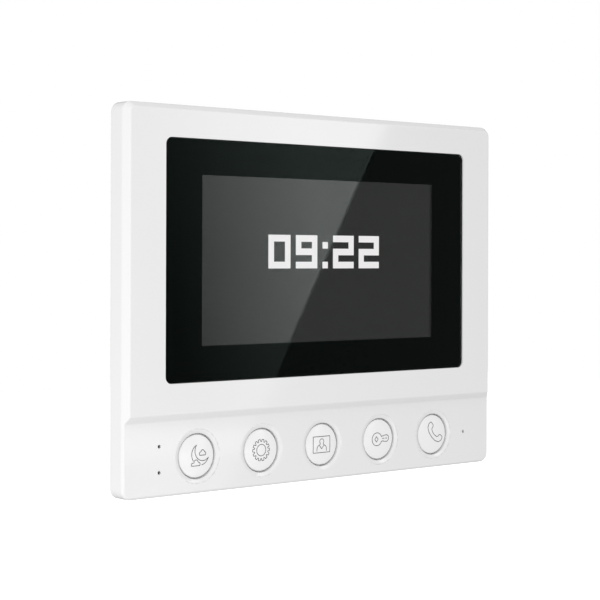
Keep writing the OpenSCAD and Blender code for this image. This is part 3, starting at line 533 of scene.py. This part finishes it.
def coverOutside():
    width, height = coverAt["right"] - coverAt["left"], coverAt["top"] - coverAt["bottom"]
    slant = math.atan2(cover["bevelRun"], cover["bevelDrop"])
    shoulder = coverAt["front"] - cover["bevelDrop"]
    lead = cover["sideRound"] * math.tan(slant / 2)
    stations = [(0.0, skirtOut), (0.0, shoulder - lead - 1.5)]
    for step in range(9):
        a = slant * step / 8      # a round shoulder between the side wall and the bevel
        stations.append((cover["sideRound"] * (1 - math.cos(a)),
                         shoulder - lead + cover["sideRound"] * math.sin(a)))
    stations.append((cover["bevelRun"], coverAt["front"]))
    sections = [(roundedRect(width - 2 * inset, height - 2 * inset, cover["corner"] - inset * 0.9, 14), out)
                for inset, out in stations]
    return loft("front_cover_shell", sections, coverAt["x"], coverAt["up"])


def stepCutter():
    # takes the button strip down below the face, with a short slope between them
    low, high = coverAt["bottom"] - cover["over"], coverAt["front"] + cover["over"]
    profile = [(low, stripOut), (cover["stripTop"], stripOut), (cover["slopeTop"], coverAt["front"]),
               (cover["slopeTop"], high), (low, high)]
    bm = bmesh.new()
    ends = [[bm.verts.new(atWall(x, up, out)) for up, out in profile]
            for x in (coverAt["left"] - cover["over"], coverAt["right"] + cover["over"])]
    bm.faces.new(ends[0])
    bm.faces.new(reversed(ends[1]))
    for i in range(len(profile)):
        j = (i + 1) % len(profile)
        bm.faces.new((ends[0][j], ends[0][i], ends[1][i], ends[1][j]))
    return outwards(newObject("stepCutter", bm))


def dishCutter(at):
    # a smooth dish that sinks towards the button, and the hole in its middle
    outer = cover["holeRadius"] + cover["dishWidth"]
    above = stripOut + cover["over"]
    section = [(0, above), (outer, above), (outer, stripOut)]
    for step in range(1, 9):
        share = step / 8
        section.append((outer - cover["dishWidth"] * share,
                        stripOut - cover["dishDepth"] * (1 - math.cos(share * math.pi / 2))))
    inside = cover["stripInside"] - cover["over"]
    section += [(cover["holeRadius"], inside), (0, inside)]
    return turn("dishCutter", section, at["x"], buttonUp, finishes["white_shell"])


def makeCover():
    shell = subtract(coverOutside(), [stepCutter()])
    addModifier(shell, "BEVEL", width=cover["edgeRound"] * mm, segments=5, limit_method="ANGLE",
                angle_limit=math.radians(28), use_clamp_overlap=True)
    settle(shell)
    width, height = coverAt["right"] - coverAt["left"], coverAt["top"] - coverAt["bottom"]
    wall, over = cover["sideWall"], cover["over"]
    hollow = slab("hollow", width - 2 * wall, height - 2 * wall, cover["corner"] - wall,
                  skirtOut - over, cover["faceInside"], coverAt["x"], coverAt["up"])
    stripHeight = cover["slopeTop"] - coverAt["bottom"] - wall
    strip = slab("strip", width - 2 * wall, stripHeight, cover["corner"] - wall, skirtOut - over,
                 cover["stripInside"], coverAt["x"], coverAt["bottom"] + wall + stripHeight / 2)
    gap = cover["pocketGap"]
    pocket = slab("pocket", glassAt["right"] - glassAt["left"] + 2 * gap,
                  glassAt["top"] - glassAt["bottom"] + 2 * gap,
                  2.0 + gap, ledgeFront, coverAt["front"] + over, glassAt["x"], glassAt["up"])
    gap = cover["lcdWindowGap"]
    window = slab("window", lcdAt["right"] - lcdAt["left"] + 2 * gap,
                  lcdAt["top"] - lcdAt["bottom"] + 2 * gap,
                  0.5, skirtOut - over, ledgeFront + 0.3, lcdAt["x"], lcdAt["up"])
    subtract(shell, [hollow, strip, pocket, window] + [dishCutter(at) for at in buttonAt])
    addModifier(shell, "BEVEL", width=cover["rimRound"] * mm, segments=4, limit_method="ANGLE",
                angle_limit=math.radians(50), use_clamp_overlap=True)
    settle(shell)
    pins = [rod("pin", cover["pinhole"], cover["stripInside"] - over, stripOut + over, x, up, 32)
            for x, up in pinholes]
    subtract(shell, pins)
    soften(shell, 38)
    return finishPiece(shell, "monitor", ["front_cover"], finishes["white_shell"])


buttonUp = reach("talk_stem")["up"]
pinholes = [(-62.6, buttonUp + 3.83), (-62.6, buttonUp - 3.83), (63.1, buttonUp)]
shell = makeCover()
print("front cover:", len(shell.data.polygons), "faces")


cap = dict(radius=6.45, dome=0.35, rim=0.4, flangeRadius=7.9, flangeBack=18.05, flangeFront=19.05,
           wall=1.1, skin=1.2, postRadius=1.7)
drawing = dict(lineWidth=0.24, sunk=0.05, sides=8, step=0.3)


def crownOut(distance):
    # how far the domed top stands out of the wall at a distance from its middle
    return buttonAt[0]["front"] - cap["dome"] * (distance / cap["radius"]) ** 2


def capSection(back):
    section = [(0, crownOut(0))]
    inner = cap["radius"] - cap["rim"]
    section += [(inner * step / 8, crownOut(inner * step / 8)) for step in range(1, 9)]
    for step in range(1, 7):
        a = math.pi / 2 * step / 6
        section.append((inner + cap["rim"] * math.sin(a), crownOut(inner) - cap["rim"] * (1 - math.cos(a))))
    ceiling = crownOut(cap["radius"]) - cap["skin"]
    section += [(cap["radius"], cap["flangeFront"]), (cap["flangeRadius"] - 0.1, cap["flangeFront"]),
                (cap["flangeRadius"], cap["flangeFront"] - 0.1), (cap["flangeRadius"], cap["flangeBack"]),
                (cap["radius"] - cap["wall"], cap["flangeBack"]), (cap["radius"] - cap["wall"], ceiling),
                (cap["postRadius"], ceiling), (cap["postRadius"], back), (0, back)]
    return section


def arc(cx, cy, radius, start, end, steps=None):
    # points of an arc from one angle to another, in degrees
    steps = steps or max(3, int(abs(end - start) / 12))
    turns = [math.radians(start + (end - start) * i / steps) for i in range(steps + 1)]
    return [(cx + radius * math.cos(a), cy + radius * math.sin(a)) for a in turns]


def closed(points):
    return points + [points[0]]


def moved(points, dx=0.0, dy=0.0, angle=0.0, size=1.0):
    a = math.radians(angle)
    return [(dx + size * (x * math.cos(a) - y * math.sin(a)), dy + size * (x * math.sin(a) + y * math.cos(a)))
            for x, y in points]


def cloud(width, puffs):
    # a flat-bottomed cloud of round puffs: (middle, height, radius)
    line = [(-width / 2, 0)]
    for x, y, radius, start, end in puffs:
        line += arc(x, y, radius, start, end)
    return closed(line + [(width / 2, 0)])


def fineLine(points):
    # short steps, so that straight lines follow the dome too
    fine = [points[0]]
    for (ax, ay), (bx, by) in zip(points, points[1:]):
        steps = max(1, round(math.hypot(bx - ax, by - ay) / drawing["step"]))
        fine += [(ax + (bx - ax) * i / steps, ay + (by - ay) * i / steps) for i in range(1, steps + 1)]
    return fine


def quietIcon():
    # a slim crescent moon holding a small cloud, with a larger cloud in front of its lower horn
    outer = arc(1.3, 0.43, 3.2, 115.5, 341.2)
    inner = arc(2.25, 1.47, 2.97, 315.4, 141.3)
    small = moved(cloud(2.0, [(-0.62, 0.42, 0.42, 260, 110), (0.05, 0.85, 0.55, 165, 20),
                              (0.65, 0.42, 0.40, 80, -80)]), 2.1, 0.15, size=1.15)
    low = moved(cloud(3.2, [(-1.15, 0.45, 0.45, 260, 120), (0.1, 1.05, 0.75, 190, 10),
                            (1.15, 0.48, 0.46, 85, -80)]), -0.4, -2.9)
    horn = [p for p in outer if p[0] > 1.15 and p[1] < 2]
    back = [p for p in outer if p[0] < 1.15 and p[1] > -1.5]
    return [inner[::-1][:1] + back, horn + inner, small, low]


def settingsIcon(teeth=14):
    # a cog wheel and its ring
    rim = []
    for tooth in range(teeth):
        middle = 360 / teeth * tooth
        rim += arc(0, 0, 3.3, middle - 6.5, middle + 6.5, 3) + arc(0, 0, 2.62, middle + 9.5, middle + 16.2, 2)
    return [closed(rim), arc(0, 0, 1.77, 0, 360, 32)]


def viewIcon():
    # a framed picture of a visitor: a plain head and shoulders with an open collar
    frameLine = closed([(-3.45, -2.55), (3.45, -2.55), (3.45, 2.55), (-3.45, 2.55)])
    head = moved(arc(0, 0, 0.85, -50, 230, 18), 0, 0.95)
    left = [(-2.0, -2.1)] + arc(-0.95, -1.2, 0.95, 170, 100, 4) + [(-0.5, 0.25)]
    right = [(-x, y) for x, y in left]
    collar = [(-0.9, -0.3), (-0.05, -1.35), (0.5, -0.7), (0.9, -0.3)]
    return [frameLine, head, left, right, collar]


def unlockIcon():
    # a key lying flat: round bow with a square eye, and a short bit with its groove
    bow = arc(-1.15, 0, 1.75, 20, 340, 28)
    eye = closed([(-1.35, 0.75), (-0.75, 0), (-1.35, -0.75), (-1.95, 0)])
    bit = [bow[0], (0.75, 0.9), (1.0, 0.65), (1.25, 0.9)] + arc(2.35, 0.1, 0.9, 80, -80, 8)
    bit += [(1.25, -0.7), (1.0, -0.45), (0.75, -0.7), bow[-1]]
    groove = [[(0.75, 0.1), (1.5, 0.1)], [(1.9, 0.1), (2.6, 0.1)]]
    return [moved(line, 0.65, 0, size=1.2) for line in [bow, eye, bit] + groove]


def talkIcon():
    # a telephone receiver leaning to the left
    half = [(-3.15, 0.5), (-3.05, 1.2), (-2.8, 1.5), (-1.85, 1.4), (-1.6, 1.15), (-1.55, 0.55), (-1.35, 0.2)]
    grip = [(-1.35, 0.2), (-0.7, -0.04), (0, -0.12), (0.7, -0.04), (1.35, 0.2)]
    back = [(-3.15, 0.5), (-2.75, -0.35), (-1.6, -0.98), (0, -1.2), (1.6, -0.98), (2.75, -0.35), (3.15, 0.5)]
    other = [(-x, y) for x, y in half[::-1]]
    return [moved(line, 0.8, 0.1, -46, 1.3) for line in (half + grip[1:] + other[1:], back)]


def drawIcon(name, lines, at):
    bm = bmesh.new()
    for line in lines:
        ring = line[0] == line[-1]
        line = fineLine(line)
        dots = [bm.verts.new(atWall(at["x"] + x, buttonUp + y, crownOut(math.hypot(x, y)) - drawing["sunk"]))
                for x, y in (line[:-1] if ring else line)]
        for a, b in zip(dots, dots[1:] + (dots[:1] if ring else [])):
            bm.edges.new((a, b))
    obj = grow(newObject(name, bm), inkLine, Line_Width=drawing["lineWidth"] * mm, Sides=drawing["sides"],
               Material=iconInk)
    obj.data.shade_smooth()
    return outwards(obj)


icons = {"do_not_disturb": quietIcon(), "settings": settingsIcon(), "view": viewIcon(),
         "unlock": unlockIcon(), "talk": talkIcon()}
for name, at in zip(buttonNames, buttonAt):
    button = turn(name + "_cap", capSection(at["back"]), at["x"], buttonUp, finishes["button_white"])
    soften(button, 32)
    finishPiece(button, name + "_key", [name + "_button"], finishes["button_white"])
    icon = drawIcon(name + "_icon", icons[name], at)
    finishPiece(icon, name + "_key", [], iconInk)
print("buttons made:", len(icons))


glassEdge = dict(corner=2.0, chamfer=0.15)
clock = dict(cellWidth=2.19, cellHeight=2.09, left=-21.96, top=8.0, thick=0.05, gap=0.03)


def makeGlass():
    # ground edges all round
    width, height = glassAt["right"] - glassAt["left"], glassAt["top"] - glassAt["bottom"]
    c = glassEdge["chamfer"]
    sections = []
    for inset, out in ((c, glassAt["back"]), (0, glassAt["back"] + c), (0, glassAt["front"] - c),
                       (c, glassAt["front"])):
        sections.append((roundedRect(width - 2 * inset, height - 2 * inset, glassEdge["corner"] - inset,
                                     12), out))
    plate = loft("cover_glass", sections, glassAt["x"], glassAt["up"])
    soften(plate, 30)
    return finishPiece(plate, "monitor", ["screen_glass"], finishes["screen_glass"])


def figureCells(text):
    # which cells of a four by five grid are lit in each figure
    rows = {"0": ("1111", "1001", "1001", "1001", "1111"), "9": ("1111", "1001", "1111", "0001", "1111"),
            "2": ("1111", "0001", "1111", "1000", "1111"), ":": ("0", "1", "0", "0", "1")}
    column, cells = 0, []
    for sign in text:
        for row, line in enumerate(rows[sign]):
            cells += [(column + i, row) for i, lit in enumerate(line) if lit == "1"]
        column += len(rows[sign][0]) + 1
    return cells


def makeClock():
    # the lit cells share their corners, so each figure is one flat plate
    bm = bmesh.new()
    corners = {}
    base = lcdAt["front"] + clock["gap"]

    def corner(column, row):
        if (column, row) not in corners:
            x = glassAt["x"] + clock["left"] + column * clock["cellWidth"]
            up = glassAt["up"] + clock["top"] - row * clock["cellHeight"]
            corners[column, row] = bm.verts.new(atWall(x, up, base))
        return corners[column, row]

    for column, row in figureCells("09:22"):
        bm.faces.new((corner(column, row + 1), corner(column + 1, row + 1), corner(column + 1, row),
                      corner(column, row)))
    grown = bmesh.ops.extrude_face_region(bm, geom=bm.faces[:], use_keep_orig=True)
    front = [item for item in grown["geom"] if isinstance(item, bmesh.types.BMVert)]
    bmesh.ops.translate(bm, verts=front, vec=atWall(0, 0, clock["thick"]))
    obj = outwards(newObject("clock_figures", bm))
    return finishPiece(obj, "monitor", [], figureLight)


makeGlass()
makeClock()
print("screen made")


studio = dict(position=(-0.3317, -0.4112, 0.0125), heading=39.56, roll=0.17, lens=96.88, shift=-0.0702,
              floorDrop=0.35, floorTone=0.93, floorGlow=0.25, floorRoughness=0.9, floorSize=4.0)
room = dict(light=0.98, towards=(-0.02, 0.0, 0.20), hall=0.30)
# the cards hang in front and to the right, square to the mirrored line of sight; corners in m across and up
cards = dict(distance=0.6, middle=0.01165, slant=13.0,
             main=dict(outline=((-0.40, -0.25), (-0.0975, -0.25), (0.1186, 0.25), (-0.40, 0.25)),
                       start=-0.10, end=0.012, glow=1.45),
             low=dict(outline=((-0.35, -0.32), (-0.128, -0.32), (-0.040, -0.117), (-0.35, -0.117)),
                      start=-0.5, end=-0.4, glow=1.4))

lamps = dict(
    frontLight=dict(place=(-0.42, -0.32, -0.04), target=(-0.07, -0.02, -0.02), size=(0.25, 0.25), power=0.74),
    cornerLight=dict(place=(-0.26, -0.06, -0.20), target=(-0.075, -0.01, -0.05), size=(0.1, 0.1), power=0.08))


def makeCamera():
    data = bpy.data.cameras.new("studioCamera")
    data.lens, data.sensor_width, data.shift_y = studio["lens"], 36.0, studio["shift"]
    data.clip_start = 0.01
    camera = bpy.data.objects.new("studioCamera", data)
    level = Matrix.Rotation(-math.radians(studio["heading"]), 4, "Z") @ Matrix.Rotation(math.pi / 2, 4, "X")
    camera.matrix_world = (Matrix.Translation(studio["position"]) @ level
                           @ Matrix.Rotation(math.radians(studio["roll"]), 4, "Z"))
    scene.collection.objects.link(camera)
    scene.camera = camera


def makeWorld():
    # a white room, a little lighter above; reflections and light through glass see a dim hall instead
    world = bpy.data.worlds.new("whiteRoom")
    world.use_nodes = True
    tree = world.node_tree
    tree.nodes.clear()
    path = addNode(tree, "ShaderNodeLightPath")
    place = addNode(tree, "ShaderNodeTexCoord")
    lean = addNode(tree, "ShaderNodeVectorMath", operation="DOT_PRODUCT")
    lean.inputs[1].default_value = room["towards"]
    level = addNode(tree, "ShaderNodeMath", operation="ADD")
    level.inputs[1].default_value = room["light"]
    soft = addNode(tree, "ShaderNodeBackground", Color=(1, 1, 1, 1))
    hall = addNode(tree, "ShaderNodeBackground", Color=(1, 1, 1, 1), Strength=room["hall"])
    backdrop = addNode(tree, "ShaderNodeBackground", Color=(1, 1, 1, 1), Strength=1.0)
    mirror = addNode(tree, "ShaderNodeMath", operation="MAXIMUM")
    gloss = addNode(tree, "ShaderNodeMixShader")
    seen = addNode(tree, "ShaderNodeMixShader")
    out = addNode(tree, "ShaderNodeOutputWorld")
    joinNodes(tree, (place.outputs["Generated"], lean.inputs[0]), (lean.outputs["Value"], level.inputs[0]),
              (level.outputs[0], soft.inputs["Strength"]),
              (path.outputs["Is Glossy Ray"], mirror.inputs[0]),
              (path.outputs["Is Transmission Ray"], mirror.inputs[1]),
              (mirror.outputs[0], gloss.inputs[0]), (soft.outputs[0], gloss.inputs[1]),
              (hall.outputs[0], gloss.inputs[2]), (path.outputs["Is Camera Ray"], seen.inputs[0]),
              (gloss.outputs[0], seen.inputs[1]), (backdrop.outputs[0], seen.inputs[2]),
              (seen.outputs[0], out.inputs[0]))
    scene.world = world


def makeFloor():
    bm = bmesh.new()
    bmesh.ops.create_grid(bm, x_segments=1, y_segments=1, size=studio["floorSize"])
    floor = newObject("floor", bm)
    floor.location = (0, 0, coverAt["bottom"] * mm - studio["floorDrop"])
    material, tree, shader = startMaterial("paleFloor")
    shader.inputs["Base Color"].default_value = (*[studio["floorTone"]] * 3, 1)
    shader.inputs["Roughness"].default_value = studio["floorRoughness"]
    shader.inputs["Emission Color"].default_value = (1, 1, 1, 1)
    shader.inputs["Emission Strength"].default_value = studio["floorGlow"]
    floor.data.materials.append(material)
    floor.visible_glossy = floor.visible_diffuse = floor.visible_transmission = False


def makeCard(name, card):
    # a glowing card that only reflections and light through glass meet; its glow grows along a slanted line
    heading = math.radians(studio["heading"])
    away = Vector((math.sin(heading), -math.cos(heading), 0))
    across = Vector((math.cos(heading), math.sin(heading), 0))
    glassMiddle = Vector((0, -glassAt["front"] * mm, cards["middle"]))
    bm = bmesh.new()
    bm.faces.new([bm.verts.new((x, y, 0)) for x, y in card["outline"]])
    obj = newObject(name, bm)
    turn3 = Matrix((across, Vector((0, 0, 1)), away)).transposed().to_4x4()
    obj.matrix_world = Matrix.Translation(glassMiddle + away * cards["distance"]) @ turn3
    material = bpy.data.materials.new(name)
    material.use_nodes = True
    tree = material.node_tree
    tree.nodes.clear()
    place = addNode(tree, "ShaderNodeTexCoord")
    slant = addNode(tree, "ShaderNodeMapping", Rotation=(0, 0, -math.radians(cards["slant"])))
    split = addNode(tree, "ShaderNodeSeparateXYZ")
    ramp = addNode(tree, "ShaderNodeMapRange", **{"From Min": card["start"], "From Max": card["end"],
                                                  "To Min": room["hall"], "To Max": card["glow"]})
    glow = addNode(tree, "ShaderNodeEmission", Color=(1, 1, 1, 1))
    out = addNode(tree, "ShaderNodeOutputMaterial")
    joinNodes(tree, (place.outputs["Object"], slant.inputs["Vector"]), (slant.outputs[0], split.inputs[0]),
              (split.outputs["X"], ramp.inputs["Value"]), (ramp.outputs[0], glow.inputs["Strength"]),
              (glow.outputs[0], out.inputs["Surface"]))
    obj.data.materials.append(material)
    obj.visible_camera = obj.visible_diffuse = obj.visible_shadow = False


def softLight(name, place, target, size, power):
    data = bpy.data.lights.new(name, "AREA")
    data.shape, data.size, data.size_y, data.energy = "RECTANGLE", size[0], size[1], power
    light = bpy.data.objects.new(name, data)
    light.location = place
    light.rotation_euler = (Vector(target) - Vector(place)).to_track_quat("-Z", "Y").to_euler()
    light.visible_glossy = False
    scene.collection.objects.link(light)


makeCamera()
makeWorld()
makeFloor()
makeCard("reflectorCard", cards["main"])
makeCard("lowCard", cards["low"])
for name, lamp in lamps.items():
    softLight(name, **lamp)
scene.view_settings.view_transform = "Standard"
